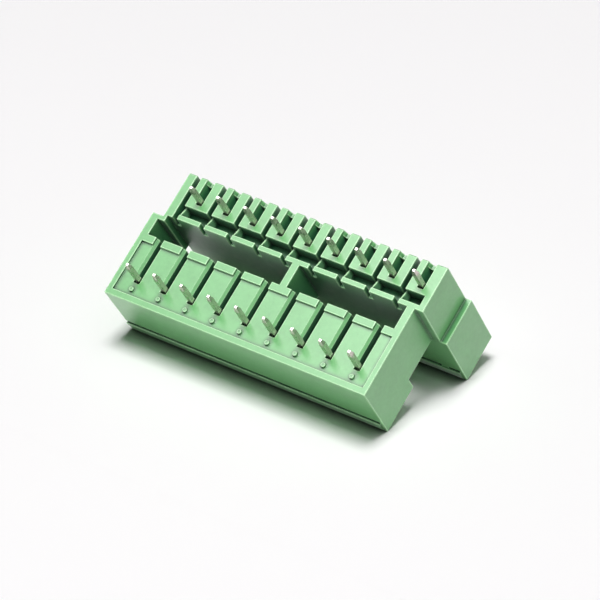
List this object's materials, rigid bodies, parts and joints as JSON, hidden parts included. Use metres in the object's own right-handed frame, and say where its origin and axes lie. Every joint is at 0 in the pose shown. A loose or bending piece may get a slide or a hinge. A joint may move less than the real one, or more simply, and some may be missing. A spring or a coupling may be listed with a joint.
{
  "type": "pcb terminal block header",
  "caption": "Stepped PCB header of a pluggable terminal block: a low and a tall open shroud in one moulding, with staggered rows of straight square solder pins.",
  "frame": {"origin": "middle of the pin field, on the plane where the housing seats on the circuit board", "axes": "+Z away from the board, towards the plug mouths; X along the pin rows; +Y from the low row to the tall row"},
  "size_m": [0.0506, 0.0234, 0.0258],
  "materials": {
    "housing": "fine satin moulded polyamide, mid green",
    "pins": "bright tin plate on copper alloy"
  },
  "bodies": {
    "root": {"housing": "housing", "front_pin_1": "pins", "front_pin_2": "pins", "front_pin_3": "pins", "front_pin_4": "pins", "front_pin_5": "pins", "front_pin_6": "pins", "front_pin_7": "pins", "front_pin_8": "pins", "front_pin_9": "pins", "rear_pin_1": "pins", "rear_pin_2": "pins", "rear_pin_3": "pins", "rear_pin_4": "pins", "rear_pin_5": "pins", "rear_pin_6": "pins", "rear_pin_7": "pins", "rear_pin_8": "pins", "rear_pin_9": "pins"}
  },
  "joints": []
}
